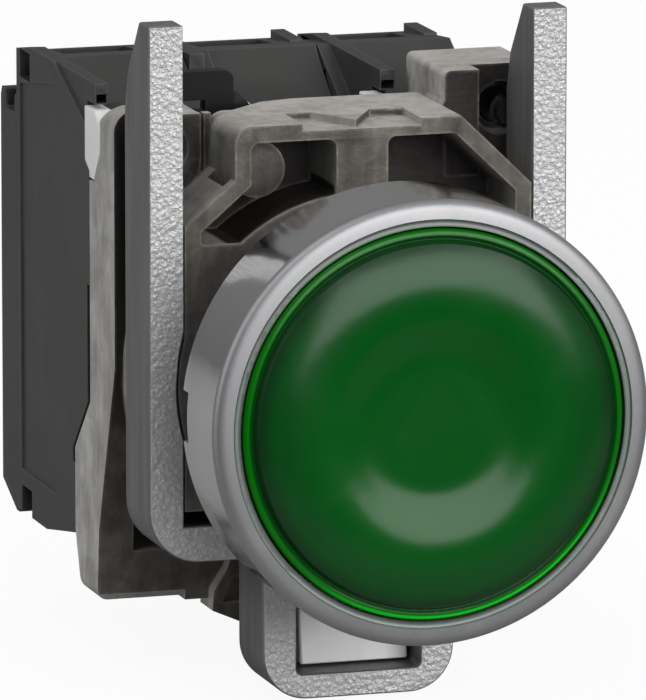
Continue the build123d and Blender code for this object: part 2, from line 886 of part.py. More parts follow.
def clamp_yoke():
    """U-shaped clamp: two arms beside the crown, a bottom bar and a loop below."""
    rear = yoke_front_y + yoke_thickness
    half = yoke_half_width
    yoke = box_between((-half, half), (yoke_front_y, rear), (yoke_bar_low_z, yoke_top_z))
    corners = edges_along(
        yoke, Axis.Y, (-half, yoke_front_y, yoke_bar_low_z), (half, rear, yoke_bar_low_z)
    )
    yoke = fillet(corners, yoke_corner_radius)
    inner = half - yoke_arm
    yoke -= box_between(
        (-inner, inner), (yoke_front_y - past, rear + past), (yoke_bar_high_z, yoke_top_z + past)
    )
    loop = box_between(
        (-loop_half_width, loop_half_width),
        (yoke_front_y, rear),
        (loop_low_z, yoke_bar_low_z + 1.0),
    )
    corners = edges_along(
        loop,
        Axis.Y,
        (-loop_half_width, yoke_front_y, loop_low_z),
        (loop_half_width, rear, loop_low_z),
    )
    yoke += fillet(corners, loop_corner_radius)
    hole = loop_half_width - loop_wall
    opening = box_between(
        (-hole, hole), (yoke_front_y - past, rear + past), (loop_low_z + loop_base, loop_hole_top_z)
    )
    low = (-hole, yoke_front_y - past, loop_low_z + loop_base)
    corners = edges_along(opening, Axis.Y, low, (hole, rear + past, loop_low_z + loop_base))
    yoke -= fillet(corners, loop_hole_round)
    hub = barrel_radius + collar_bore_gap + hub_wall + yoke_hub_gap
    yoke -= cylinder_y(0, 0, hub, yoke_front_y - past, rear + past)
    taper = side_outline(
        [
            (yoke_front_y + yoke_tip_thickness, yoke_top_z + 0.1),
            (rear - 0.75, yoke_taper_z + 0.6),
            (rear + 0.01, yoke_taper_z - 1.9),
            (rear + past, yoke_taper_z - 1.9),
            (rear + past, yoke_top_z + 0.1),
        ],
        -half - past,
        half + past,
    )
    return yoke - taper


def clamp_screw(x, height):
    """Headless screw with a dog point that presses one arm of the yoke forward."""
    tip = yoke_front_y + yoke_thickness + clamp_screw_tip_gap
    thread_front = tip + clamp_screw_nose_length
    screw = cylinder_y(x, height, clamp_screw_radius, thread_front, clamp_screw_rear_y)
    screw += cylinder_y(x, height, clamp_screw_nose_radius, tip, thread_front + 0.1)
    wide = clamp_screw_radius + past
    screw -= box_between(
        (x - wide, x + wide),
        (clamp_screw_rear_y - slot_depth, clamp_screw_rear_y + past),
        (height - slot_width / 2, height + slot_width / 2),
    )
    return screw


def locking_ring():
    """Flat ring with two notches that let the barrel's lugs through when it is turned."""
    rear = lock_front_y + lock_thickness
    ring = cylinder_y(0, 0, lock_radius, lock_front_y, rear)
    ring -= cylinder_y(0, 0, barrel_radius + collar_bore_gap, lock_front_y - past, rear + past)
    half = lug_width / 2 + leg_gap
    span = (lock_front_y - past, rear + past)
    reach = lug_radius + leg_gap
    slots = cylinder_y(0, 0, reach, *span) & box_between((-half, half), span, (-reach, reach))
    ring -= Rot(0, -lock_turn, 0) * slots
    return ring


def locking_lever():
    """Black tab on the locking ring that a finger pushes to release the head."""
    rear = lock_front_y + lock_thickness
    span = (lock_front_y, rear)
    head = box_between((lever_left_x, lever_right_x), span, (lever_low_z, lever_top_z))
    head += box_between((lever_step_x, lever_right_x), span, (lever_step_z, lever_low_z + 0.1))
    corners = edges_along(
        head,
        Axis.Y,
        (lever_left_x, lock_front_y, lever_top_z),
        (lever_right_x, rear, lever_top_z),
    )
    head = fillet(corners, lever_corner)
    stem = box_between(
        (lever_right_x - lever_stem_width, lever_right_x),
        span,
        (lock_radius * 0.7, lever_step_z + 0.1),
    )
    tab = front_outline(
        [
            (lever_right_x - 0.1, lever_step_z),
            (lever_right_x - 0.1, lever_step_z + lever_tab_height),
            (lever_right_x + 0.3 * lever_tab_width, lever_step_z + lever_tab_height),
            (lever_right_x + lever_tab_width, lever_step_z + 0.3),
            (lever_right_x + lever_tab_width, lever_step_z),
        ],
        *span,
    )
    return head + stem + tab - cylinder_y(0, 0, lock_radius, lock_front_y - past, rear + past)


def block_profile():
    """Side view of a block's front housing, without its fins."""
    return [
        (block_front_y, roof_front_z),
        (roof_ridge_y, roof_ridge_z),
        (block_joint_y, block_top_z),
        (block_joint_y, block_low_z + 0.1),
        (block_joint_y - belly_length, block_low_z + 0.1),
        (block_step_y, block_belly_z),
        (block_step_y, block_step_low_z),
        (block_front_y, block_step_high_z),
    ]


def fin_profile(front_y):
    """Side view of the thin guide wall beside the roof, with or without its hooked tip."""
    root_y = max(front_y, latch_rear_y)
    points = [
        (block_joint_y - 3.7, fin_top_z),
        (block_joint_y, block_top_z + 0.2),
        (block_joint_y, block_top_z - 1.0),
        (roof_ridge_y, block_top_z - 1.0),
        (root_y + 0.4, roof_front_z),
        (root_y, roof_front_z),
    ]
    if front_y < root_y:
        points.append((root_y, fin_top_z - fin_tip_height))
        points.append((front_y, fin_top_z - fin_tip_height))
    return points + [(front_y, fin_top_z)]


def guide_fin(low_x, shift, front_y):
    """Thin guide wall with a hole in the front of its tip."""
    low = low_x + shift
    high = low + fin_thickness
    fin = side_outline(fin_profile(front_y), low, high)
    if shift == 0:
        crease = [
            (fin_front_y - past, crease_front_z),
            (fin_front_y, crease_front_z),
            (crease_rear_y, fin_top_z + 0.1),
            (crease_rear_y, fin_top_z + past),
            (fin_front_y - past, fin_top_z + past),
        ]
        fin -= side_outline(crease, low_x - past, low_x + fin_inset)
    inner_low = low + fin_tip_wall + (0 if shift else fin_inset)
    hole_top = fin_top_z - fin_tip_roof
    return fin - box_between(
        (inner_low, high - fin_tip_wall),
        (fin_front_y - past, fin_front_y + fin_tip_hole_depth),
        (fin_top_z - fin_tip_height + fin_tip_wall, hole_top),
    )


def roof_hollow(low_x, high_x):
    """Long round hollow that curves the roof of the middle block."""
    run = roof_ridge_y - block_front_y
    rise = roof_ridge_z - roof_front_z
    chord = (run**2 + rise**2) ** 0.5
    radius = (chord**2 / 4 + roof_hollow_depth**2) / (2 * roof_hollow_depth)
    away = radius - roof_hollow_depth
    centre_y = (roof_ridge_y + block_front_y) / 2 - away * rise / chord
    centre_z = (roof_ridge_z + roof_front_z) / 2 + away * run / chord
    length = high_x - low_x
    centre = Pos((low_x + high_x) / 2, centre_y, centre_z)
    return centre * Rot(0, 90, 0) * Cylinder(radius, length)


def side_marks(low_x):
    """Cuts in the outer side of a block: two slots, a shallow panel and a corner gap."""
    outside = low_x - past
    slot = (outside, low_x + side_slot_depth)
    y_slot = (side_slot_front_y, side_slot_rear_y)
    cuts = box_between(slot, y_slot, (top_slot_low_z, top_slot_high_z))
    cuts += box_between(slot, y_slot, (block_low_z - past, bottom_slot_z))
    panel = [
        (panel_front_y, panel_top_front_z),
        (side_slot_rear_y, panel_top_rear_z),
        (side_slot_rear_y, panel_low_z),
        (panel_front_y, panel_low_z),
    ]
    cuts += side_outline(panel, outside, low_x + panel_recess)
    gap = [
        (block_front_y - past, corner_gap_high_z),
        (block_front_y + corner_gap_y, corner_gap_high_z),
        (block_front_y + corner_gap_y, block_step_high_z),
        (block_step_y + corner_gap_y, block_step_low_z),
        (block_step_y + corner_gap_y, block_step_low_z - past),
        (block_front_y - past, block_step_low_z - past),
    ]
    return cuts + side_outline(gap, outside, low_x + corner_gap_x)


def block_span(centre):
    """Low and high X of a block."""
    half = (block_pitch - block_gap) / 2
    return centre - half, centre + half


def terminal_heights():
    """Heights of the upper and the lower terminal."""
    return {"upper": terminal_high_z, "lower": terminal_low_z}


def block_housing(centre, shift, finger_hole, lamp_hole):
    """Moulded front housing of one block, open at the back."""
    low_x, high_x = block_span(centre)
    housing = side_outline(block_profile(), low_x, high_x)
    if lamp_hole:
        housing -= roof_hollow(low_x + roof_hollow_inset, high_x + past)
    fin_front = middle_fin_front_y if lamp_hole else fin_front_y
    housing += guide_fin(low_x, shift, fin_front)
    rib_top_z = fin_top_z - rib_drop
    rear_rib = [
        (rib_front_y, block_top_z - 0.5),
        (rib_front_y, rib_top_z),
        (block_joint_y, rib_top_z),
        (block_joint_y, block_top_z - 0.5),
    ]
    housing += side_outline(rear_rib, high_x - rib_width, high_x)
    inner_x = (low_x + block_wall, high_x - block_wall)
    cavity = [
        (block_front_y + block_wall, roof_front_z - 2.6),
        (roof_ridge_y, cavity_high_z),
        (block_joint_y + past, cavity_high_z),
        (block_joint_y + past, cavity_low_z),
        (block_step_y + block_wall + 0.3, cavity_low_z + 0.8),
        (block_step_y + block_wall + 0.3, block_step_low_z),
        (block_front_y + block_wall, block_step_high_z + 0.3),
    ]
    housing -= side_outline(cavity, *inner_x)
    housing -= side_marks(low_x)
    for bottom, top in ((cavity_high_z - 0.5, fin_top_z + past), (block_low_z - past, cavity_low_z + 0.5)):
        housing -= box_between(
            (centre - wire_half_width, centre + wire_half_width),
            (wire_front_y, wire_rear_y),
            (bottom, top),
        )
    if finger_hole:
        housing -= box_between(
            finger_hole,
            (block_front_y - past, block_front_y + block_wall + past),
            (-plunger_height / 2 - guide_gap, plunger_height / 2 + guide_gap),
        )
    if lamp_hole:
        housing -= cylinder_y(
            centre, 0, lamp_hole, block_front_y - past, block_front_y + block_wall + past
        )
    return housing


def block_cover(centre):
    """Rear cover of one block, with a driver well over each terminal screw."""
    low_x, high_x = block_span(centre)
    outline = [
        (block_joint_y, cover_top_z),
        (block_rear_y - 0.3, cover_top_z),
        (block_rear_y, cover_top_z - 0.6),
        (block_rear_y, cover_low_z),
        (block_joint_y + 0.6, block_low_z - 0.2),
        (block_joint_y, block_low_z - 0.2),
    ]
    cover = side_outline(outline, low_x, high_x)
    for height in terminal_heights().values():
        well = screw_head_radius + well_gap
        cover -= cylinder_y(centre, height, well, block_joint_y - past, block_rear_y + past)
    notch = (low_x - past, low_x + side_slot_depth)
    y_notch = (cover_notch_front_y, cover_notch_rear_y)
    return cover - box_between(notch, y_notch, (cover_notch_z, cover_top_z + past))


def contact_strip(centre, side, tip_y):
    """Brass strip from a terminal pad to a fixed contact point."""
    height = terminal_high_z if side > 0 else terminal_low_z
    inner_z = side * (abs(height) - pad_inner_reach)
    outer_z = side * (abs(height) + pad_outer_reach)
    x = (centre - strip_half_width, centre + strip_half_width)
    strip = box_between(x, (pad_y, pad_y + strip_thickness), sorted((inner_z, outer_z)))
    strip -= cylinder_y(
        centre, height, screw_radius + screw_gap, pad_y - past, pad_y + strip_thickness + past
    )
    reach_y = feed_front_y if tip_y is None else tip_y
    run = (min(reach_y, pad_y), max(reach_y, pad_y) + strip_thickness)
    shelf = sorted((inner_z, inner_z - side * strip_thickness))
    narrow = (centre - bridge_half_width, centre + bridge_half_width)
    strip += box_between(narrow, run, shelf)
    if tip_y is None:
        return strip
    tip = sorted((inner_z, side * contact_tip_z))
    strip += box_between(narrow, (tip_y, tip_y + strip_thickness), tip)
    return strip


def clamp_plate(centre, height):
    """Square plate under a terminal screw's head that grips the wire."""
    x = (centre - clamp_plate_half, centre + clamp_plate_half)
    y = (clamp_plate_y, clamp_plate_y + clamp_plate_thickness)
    z = (height - clamp_plate_half, height + clamp_plate_half)
    plate = box_between(x, y, z)
    return plate - cylinder_y(centre, height, screw_radius + screw_gap, y[0] - past, y[1] + past)


def terminal_screw(centre, height):
    """Terminal screw with a slotted pan head."""
    head_front = clamp_plate_y + clamp_plate_thickness
    head_rear = head_front + screw_head_length
    screw = cylinder_y(centre, height, screw_radius, screw_tip_y, head_front + 0.1)
    screw += cylinder_y(centre, height, screw_head_radius, head_front, head_rear)
    wide = screw_head_radius + past
    return screw - box_between(
        (centre - wide, centre + wide),
        (head_rear - slot_depth, head_rear + past),
        (height - slot_width / 2, height + slot_width / 2),
    )


def plunger(side):
    """White plunger of a side block: finger, carriage, stem and keeper."""
    centre = side * block_pitch
    inner = plunger_inner_x
    half = plunger_height / 2
    finger = sorted((side * inner, side * (inner + plunger_finger)))
    part = box_between(finger, (plunger_y, plunger_finger_end_y + 0.1), (-half, half))
    carriage = sorted((side * inner, side * carriage_outer_x))
    part += box_between(carriage, (plunger_finger_end_y, carriage_end_y), (-half, half))
    keeper_y = bridge_y + bridge_thickness
    part += cylinder_y(centre, 0, plunger_stem_radius, carriage_end_y - 0.1, keeper_y + 0.1)
    return part + cylinder_y(centre, 0, keeper_radius, keeper_y, keeper_y + keeper_thickness)


def contact_bridge(side, pads_behind):
    """Moving brass bridge with a contact pad at each end."""
    centre = side * block_pitch
    x = (centre - bridge_half_width, centre + bridge_half_width)
    y = (bridge_y, bridge_y + bridge_thickness)
    bridge = box_between(x, y, (-bridge_half_length, bridge_half_length))
    if pads_behind:
        pad = (y[1] - 0.1, y[1] + bridge_pad_height)
    else:
        pad = (y[0] - bridge_pad_height, y[0] + 0.1)
    for end in (-1, 1):
        bridge += cylinder_y(centre, end * bridge_pad_z, bridge_pad_radius, *pad)
    return bridge - cylinder_y(centre, 0, plunger_stem_radius + 0.02, y[0] - past, y[1] + past)


def fixed_contact_y(closes_when_pressed):
    """Front face of a fixed contact: ahead of the bridge or a full travel behind it."""
    if closes_when_pressed:
        return bridge_y + bridge_thickness + bridge_pad_height + pusher_travel + contact_gap
    return bridge_y - bridge_pad_height - contact_gap - strip_thickness


def bridge_spring(side):
    """Small coil that presses the bridge on the plunger's keeper."""
    front = carriage_end_y + spring_end_gap
    mean = plunger_stem_radius + 0.45
    return coil(side * block_pitch, 0, mean, 0.2, front, bridge_y - spring_end_gap, 4)


def plunger_spring(side):
    """Coil that returns the plunger, seated on the rear cover."""
    front = bridge_y + bridge_thickness + keeper_thickness + spring_end_gap
    return coil(side * block_pitch, 0, 1.2, 0.2, front, block_joint_y - spring_end_gap, 6)


def lamp():
    """Light-emitting lamp of the middle block, reaching into the pusher's tube."""
    round_y = lamp_tip_y + lamp_radius
    dome = Pos(0, round_y, 0) * Sphere(lamp_radius)
    dome &= box_between(
        (-lamp_radius, lamp_radius), (lamp_tip_y - past, round_y), (-lamp_radius, lamp_radius)
    )
    return dome + cylinder_y(0, 0, lamp_radius, round_y, board_front_y - lamp_holder_length)


def lamp_holder():
    """Holder that carries the lamp on the circuit board."""
    holder = cylinder_y(0, 0, lamp_collar_radius, board_front_y - lamp_holder_length, board_front_y)
    return holder


def circuit_board():
    """Board that feeds the lamp from the two terminals."""
    high = abs(terminal_high_z) - pad_inner_reach - strip_thickness
    low = -(abs(terminal_low_z) - pad_inner_reach - strip_thickness)
    outline = [
        (board_front_y, board_low_z),
        (board_front_y, high),
        (board_rear_y, high),
        (board_rear_y, low),
        (board_step_y, low),
    ]
    return side_outline(outline, -board_thickness / 2, board_thickness / 2)


def latch(centre):
    """White latch on the front corner of a block, hooked behind the collar's wall."""
    low_x = block_span(centre)[0]
    slope = (roof_ridge_z - roof_front_z) / (roof_ridge_y - block_front_y)
    foot_z = roof_front_z + slope * (latch_rear_y - block_front_y)
    outline = [
        (latch_front_y + 0.7, latch_top_z - 0.5),
        (latch_front_y + 0.25, latch_top_z - 1.2),
        (latch_front_y, latch_top_z - 2.1),
        (latch_front_y, latch_shoulder_z),
        (latch_tip_y, latch_tip_z),
        (block_front_y, latch_tip_z),
        (block_front_y, roof_front_z),
        (latch_rear_y, foot_z),
        (latch_rear_y, latch_top_z),
        (latch_front_y + 1.4, latch_top_z),
    ]
    return side_outline(outline, low_x, low_x + latch_width)


def build_parts():
    """Every separate piece by its name."""
    parts = {
        "front_ring": front_ring(),
        "bezel": bezel(),
        "seat_gasket": seat_gasket(),
        "lens_cap": lens_cap(),
        "pusher_head": pusher_head(),
        "pusher_stem": pusher_stem(),
        "diffuser": diffuser(),
        "return_spring": return_spring(),
        "collar_body": collar_body(),
        "yoke_guide": yoke_guide(),
        "clamp_yoke": clamp_yoke(),
        "left_clamp_screw": clamp_screw(left_screw_x, left_screw_z),
        "right_clamp_screw": clamp_screw(right_screw_x, right_screw_z),
        "locking_ring": locking_ring(),
        "locking_lever": locking_lever(),
        "lamp": lamp(),
        "lamp_holder": lamp_holder(),
        "circuit_board": circuit_board(),
    }
    for name, side in (("left", -1), ("middle", 0), ("right", 1)):
        centre = side * block_pitch
        finger = None
        if side:
            near = side * (plunger_inner_x - guide_gap)
            far = side * (leg_outer_x + guide_gap)
            finger = sorted((near, far))
        shift = fin_shift if side > 0 else 0
        lamp_hole = None if side else lamp_collar_radius + guide_gap
        parts[f"{name}_housing"] = block_housing(centre, shift, finger, lamp_hole)
        parts[f"{name}_cover"] = block_cover(centre)
        parts[f"{name}_latch"] = latch(centre)
        tip_y = fixed_contact_y(side < 0) if side else None
        for level, height in terminal_heights().items():
            up = 1 if height > 0 else -1
            parts[f"{name}_{level}_contact"] = contact_strip(centre, up, tip_y)
            parts[f"{name}_{level}_clamp"] = clamp_plate(centre, height)
            parts[f"{name}_{level}_screw"] = terminal_screw(centre, height)
        if side:
            parts[f"{name}_plunger"] = plunger(side)
            parts[f"{name}_bridge"] = contact_bridge(side, side < 0)
            parts[f"{name}_bridge_spring"] = bridge_spring(side)
            parts[f"{name}_plunger_spring"] = plunger_spring(side)
    return parts


os.makedirs("parts", exist_ok=True)
for part_name, solid in build_parts().items():
    export_step(solid, f"parts/{part_name}.step")
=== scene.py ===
import json
import math

import bpy
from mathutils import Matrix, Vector


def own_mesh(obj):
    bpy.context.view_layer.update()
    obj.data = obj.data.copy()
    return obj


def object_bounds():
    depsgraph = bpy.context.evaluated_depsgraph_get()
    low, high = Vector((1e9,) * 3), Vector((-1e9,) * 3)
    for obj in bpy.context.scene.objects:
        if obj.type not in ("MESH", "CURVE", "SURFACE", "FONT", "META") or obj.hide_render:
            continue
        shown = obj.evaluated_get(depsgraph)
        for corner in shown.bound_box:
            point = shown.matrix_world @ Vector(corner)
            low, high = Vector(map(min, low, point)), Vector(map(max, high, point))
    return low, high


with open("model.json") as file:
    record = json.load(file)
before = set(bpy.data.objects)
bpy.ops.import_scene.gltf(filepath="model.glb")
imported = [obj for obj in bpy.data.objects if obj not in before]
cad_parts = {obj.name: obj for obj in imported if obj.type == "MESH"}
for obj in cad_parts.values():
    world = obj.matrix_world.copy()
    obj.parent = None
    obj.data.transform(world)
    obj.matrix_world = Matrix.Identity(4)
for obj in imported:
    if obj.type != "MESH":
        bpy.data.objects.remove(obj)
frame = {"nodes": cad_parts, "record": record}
cad_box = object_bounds()
cad = frame["nodes"]
MM = 0.001
BLOCKS = ("left", "middle", "right")


def tone(red, green, blue):
    """Linear colour from the 0 to 255 values that a screen shows."""
    shown = []
    for value in (red, green, blue):
        part = value / 255
        linear = part / 12.92 if part <= 0.04045 else ((part + 0.055) / 1.055) ** 2.4
        shown.append(linear)
    return (*shown, 1.0)


def grey(value):
    """Linear neutral grey from a 0 to 255 value."""
    return tone(value, value, value)


def add_node(tree, kind, inputs=None, **settings):
    """Node of a shader tree, with its sockets linked or set."""
    made = tree.nodes.new(kind)
    for name, value in settings.items():
        setattr(made, name, value)
    for name, value in (inputs or {}).items():
        if isinstance(value, bpy.types.NodeSocket):
            tree.links.new(value, made.inputs[name])
        else:
            made.inputs[name].default_value = value
    return made


def noise(tree, vector, scale, detail=4.0, rough=0.55, distortion=0.0):
    """Height of a noise texture."""
    made = add_node(
        tree,
        "ShaderNodeTexNoise",
        {
            "Vector": vector,
            "Scale": scale,
            "Detail": detail,
            "Roughness": rough,
            "Distortion": distortion,
        },
    )
    return made.outputs["Fac"]


def arithmetic(tree, operation, first, second=0.0, clamp=False):
    """Result of a math node."""
    made = add_node(tree, "ShaderNodeMath", {0: first, 1: second}, operation=operation)
    made.use_clamp = clamp
    return made.outputs[0]


def spread(tree, value, low, high, to_low=0.0, to_high=1.0):
    """Value mapped smoothly from one range to another."""
    made = add_node(
        tree,
        "ShaderNodeMapRange",
        {
            "Value": value,
            "From Min": low,
            "From Max": high,
            "To Min": to_low,
            "To Max": to_high,
        },
        interpolation_type="SMOOTHSTEP",
    )
    return made.outputs["Result"]


def set_inputs(tree, made, values):
    """Links or constants for the numbered sockets of a node."""
    for index, value in values:
        if isinstance(value, bpy.types.NodeSocket):
            tree.links.new(value, made.inputs[index])
        else:
            made.inputs[index].default_value = value


def blend_colour(tree, factor, first, second):
    """Two colours mixed by a factor."""
    made = add_node(tree, "ShaderNodeMix", data_type="RGBA")
    set_inputs(tree, made, ((0, factor), (6, first), (7, second)))
    return made.outputs[2]


def blend_value(tree, factor, first, second):
    """Two numbers mixed by a factor."""
    made = add_node(tree, "ShaderNodeMix", data_type="FLOAT")
    set_inputs(tree, made, ((0, factor), (2, first), (3, second)))
    return made.outputs[0]


def stretched(tree, vector, scale):
    """Coordinates scaled by a different amount along each axis."""
    made = add_node(tree, "ShaderNodeVectorMath", {0: vector, 1: scale}, operation="MULTIPLY")
    return made.outputs["Vector"]


def split(tree, vector):
    """The three parts of a vector."""
    return add_node(tree, "ShaderNodeSeparateXYZ", {"Vector": vector}).outputs


def axis_distance(tree, place):
    """Distance from the button's axis."""
    across = stretched(tree, place, (1.0, 0.0, 1.0))
    return add_node(tree, "ShaderNodeVectorMath", {0: across}, operation="LENGTH").outputs["Value"]


def start_group(name, inputs, outputs):
    """Shader node group with named sockets, its entry and its exit."""
    group = bpy.data.node_groups.new(name, "ShaderNodeTree")
    for label, kind, value in inputs:
        socket = group.interface.new_socket(name=label, in_out="INPUT", socket_type=kind)
        if value is not None:
            socket.default_value = value
    for label, kind in outputs:
        group.interface.new_socket(name=label, in_out="OUTPUT", socket_type=kind)
    entry = group.nodes.new("NodeGroupInput")
    leave = group.nodes.new("NodeGroupOutput")
    return group, entry.outputs, leave.inputs


FLOAT = "NodeSocketFloat"
VECTOR = "NodeSocketVector"


def casting_stain_group():
    """Mottled stain of a raw casting, in blotches and streaks, with its fine pitting."""
    group, entry, leave = start_group(
        "casting stain",
        [
            ("Vector", VECTOR, None),
            ("Blotch Scale", FLOAT, 260.0),
            ("Streak", FLOAT, 0.5),
            ("Pit Scale", FLOAT, 2600.0),
        ],
        [("Stain", FLOAT), ("Pits", FLOAT)],
    )
    place = entry["Vector"]
    blotch = noise(group, place, entry["Blotch Scale"], 5.0, 0.62, 0.6)
    flow = stretched(group, place, (1.0, 1.0, 0.16))
    streak = noise(group, flow, 900.0, 3.0, 0.6)
    mixed = blend_value(group, entry["Streak"], blotch, streak)
    stain = spread(group, mixed, 0.34, 0.68)
    group.links.new(stain, leave["Stain"])
    group.links.new(noise(group, place, entry["Pit Scale"], 4.0, 0.6), leave["Pits"])
    return group


def sand_grain_group():
    """Coarse lumps of a sand textured casting, with finer grain between them, and a mask of the
    highest lumps for a painted glint.
    """
    group, entry, leave = start_group(
        "sand grain",
        [("Vector", VECTOR, None), ("Lump Scale", FLOAT, 2400.0), ("Fine", FLOAT, 0.35)],
        [("Height", FLOAT), ("Painted Glint", FLOAT)],
    )
    cells = add_node(
        group,
        "ShaderNodeTexVoronoi",
        {
            "Vector": entry["Vector"],
            "Scale": entry["Lump Scale"],
            "Smoothness": 0.7,
            "Randomness": 1.0,
        },
        feature="SMOOTH_F1",
    ).outputs["Distance"]
    lumps = arithmetic(group, "SUBTRACT", 1.0, cells)
    fine_scale = arithmetic(group, "MULTIPLY", entry["Lump Scale"], 2.7)
    fine = noise(group, entry["Vector"], fine_scale, 2.0, 0.5, 0.3)
    height = blend_value(group, entry["Fine"], lumps, fine)
    group.links.new(height, leave["Height"])
    # Painted glint: the highest lumps are marked to be painted paler.
    group.links.new(spread(group, height, 0.55, 0.75), leave["Painted Glint"])
    return group


def edge_wear_group():
    """Mask that is 1 on worn edges and 0 on flat faces, broken up by noise."""
    group, entry, leave = start_group(
        "edge wear",
        [("Vector", VECTOR, None), ("Width", FLOAT, 0.0003), ("Break Up", FLOAT, 0.5)],
        [("Mask", FLOAT)],
    )
    rounded = add_node(group, "ShaderNodeBevel", {"Radius": entry["Width"]}, samples=4)
    flat = group.nodes.new("ShaderNodeNewGeometry").outputs["Normal"]
    likeness = add_node(
        group,
        "ShaderNodeVectorMath",
        {0: rounded.outputs["Normal"], 1: flat},
        operation="DOT_PRODUCT",
    ).outputs["Value"]
    edge = spread(group, likeness, 0.999, 0.9)
    chips = spread(group, noise(group, entry["Vector"], 1100.0, 4.0), 0.35, 0.62)
    broken = blend_value(group, entry["Break Up"], 1.0, chips)
    group.links.new(arithmetic(group, "MULTIPLY", edge, broken), leave["Mask"])
    return group


def moulded_grain_group():
    """Fine spark eroded texture of a moulded plastic, with faint flow patches."""
    group, entry, leave = start_group(
        "moulded grain",
        [("Vector", VECTOR, None), ("Grain Scale", FLOAT, 5200.0), ("Patch Scale", FLOAT, 120.0)],
        [("Height", FLOAT), ("Patch", FLOAT)],
    )
    grain = noise(group, entry["Vector"], entry["Grain Scale"], 2.0, 0.5)
    patch = noise(group, entry["Vector"], entry["Patch Scale"], 3.0, 0.5, 0.4)
    group.links.new(grain, leave["Height"])
    group.links.new(spread(group, patch, 0.35, 0.65), leave["Patch"])
    return group


def handling_group():
    """Smudges and hair lines of a handled glossy surface."""
    group, entry, leave = start_group(
        "handling marks",
        [("Vector", VECTOR, None), ("Scale", FLOAT, 90.0)],
        [("Smudge", FLOAT), ("Ripple", FLOAT)],
    )
    smudge = noise(group, entry["Vector"], entry["Scale"], 5.0, 0.6, 1.2)
    ripple_scale = arithmetic(group, "MULTIPLY", entry["Scale"], 3.0)
    ripple = noise(group, entry["Vector"], ripple_scale, 1.0, 0.4)
    group.links.new(spread(group, smudge, 0.4, 0.7), leave["Smudge"])
    group.links.new(ripple, leave["Ripple"])
    return group


def facing_group():
    """Mask of the faces that look towards one direction of the object."""
    group, entry, leave = start_group(
        "faces towards",
        [("Direction", VECTOR, (0.0, -1.0, 0.0)), ("From", FLOAT, 0.8), ("To", FLOAT, 0.95)],
        [("Mask", FLOAT)],
    )
    normal = group.nodes.new("ShaderNodeTexCoord").outputs["Normal"]
    turned = add_node(
        group, "ShaderNodeVectorMath", {0: normal, 1: entry["Direction"]}, operation="DOT_PRODUCT"
    ).outputs["Value"]
    group.links.new(spread(group, turned, entry["From"], entry["To"]), leave["Mask"])
    return group


def drawn_line_group():
    """Fine drawing lines along one direction of a wire, strip or turned part."""
    group, entry, leave = start_group(
        "drawn lines",
        [("Vector", VECTOR, None), ("Stretch", VECTOR, (1.0, 0.05, 1.0)), ("Scale", FLOAT, 6000.0)],
        [("Height", FLOAT), ("Tone", FLOAT)],
    )
    drawn = add_node(
        group, "ShaderNodeVectorMath", {0: entry["Vector"], 1: entry["Stretch"]}, operation="MULTIPLY"
    ).outputs["Vector"]
    lines = noise(group, drawn, entry["Scale"], 2.0, 0.5)
    group.links.new(lines, leave["Height"])
    group.links.new(spread(group, lines, 0.35, 0.65), leave["Tone"])
    return group


CASTING_STAIN = casting_stain_group()
SAND_GRAIN = sand_grain_group()
EDGE_WEAR = edge_wear_group()
MOULDED_GRAIN = moulded_grain_group()
HANDLING = handling_group()
FACING = facing_group()
DRAWN_LINES = drawn_line_group()


def place_group(tree, group, **inputs):
    """Group placed in a material, with its sockets linked or set."""
    made = tree.nodes.new("ShaderNodeGroup")
    made.node_tree = group
    for label, value in inputs.items():
        socket = made.inputs[label.replace("_", " ")]
        if isinstance(value, bpy.types.NodeSocket):
            tree.links.new(value, socket)
        else:
            socket.default_value = value
    return made.outputs


def start_material(name, **constants):
    """Material with its shader, and the object's own coordinates."""
    material = bpy.data.materials.new(name)
    material.use_nodes = True
    tree = material.node_tree
    shader = tree.nodes["Principled BSDF"]
    for label, value in constants.items():
        shader.inputs[label.replace("_", " ")].default_value = value
    place = tree.nodes.new("ShaderNodeTexCoord").outputs["Object"]
    return material, tree, shader, place


def bump(tree, shader, height, strength, distance):
    """Relief from a height value, in metres of distance."""
    made = add_node(
        tree,
        "ShaderNodeBump",
        {"Height": height, "Strength": strength, "Distance": distance},
    )
    tree.links.new(made.outputs["Normal"], shader.inputs["Normal"])


def feed(tree, shader, label, value):
    """Link of a value to one of the shader's sockets."""
    tree.links.new(value, shader.inputs[label])


# Radii of the ring's crease, where its band of painted shade begins.
RING_CREASE = (14.06 * MM, 13.96 * MM)


def satin_ring_material():
    """Satin ring with a darker, faintly green band inside its crease: painted shade, tinted green as
    painted light from the lens.
    """
    material, tree, shader, place = start_material("satin chromed ring", Metallic=1.0)
    marks = place_group(tree, HANDLING, Vector=place, Scale=70.0)
    grain = place_group(tree, MOULDED_GRAIN, Vector=place, Grain_Scale=7000.0)
    satin = blend_colour(tree, marks["Smudge"], tone(142, 142, 144), tone(149, 149, 150))
    # Painted shade: the band inside the crease is painted darker and faintly green, and it is also
    # rougher.
    inner_painted_shade = spread(tree, axis_distance(tree, place), *RING_CREASE)
    feed(tree, shader, "Base Color", blend_colour(tree, inner_painted_shade, satin, tone(122, 129, 124)))
    soft = spread(tree, marks["Smudge"], 0.0, 1.0, 0.50, 0.55)
    feed(tree, shader, "Roughness", blend_value(tree, inner_painted_shade, soft, 0.62))
    bump(tree, shader, grain["Height"], 0.06, 0.00004)
    return material


def bright_chrome_material():
    """Polished chrome with faint smudges and ripples."""
    material, tree, shader, place = start_material("bright chromed bezel", Metallic=1.0)
    marks = place_group(tree, HANDLING, Vector=place, Scale=60.0)
    colour = blend_colour(tree, marks["Smudge"], tone(196, 197, 198), tone(184, 185, 187))
    feed(tree, shader, "Base Color", colour)
    feed(tree, shader, "Roughness", spread(tree, marks["Smudge"], 0.0, 1.0, 0.10, 0.17))
    bump(tree, shader, marks["Ripple"], 0.25, 0.00025)
    return material
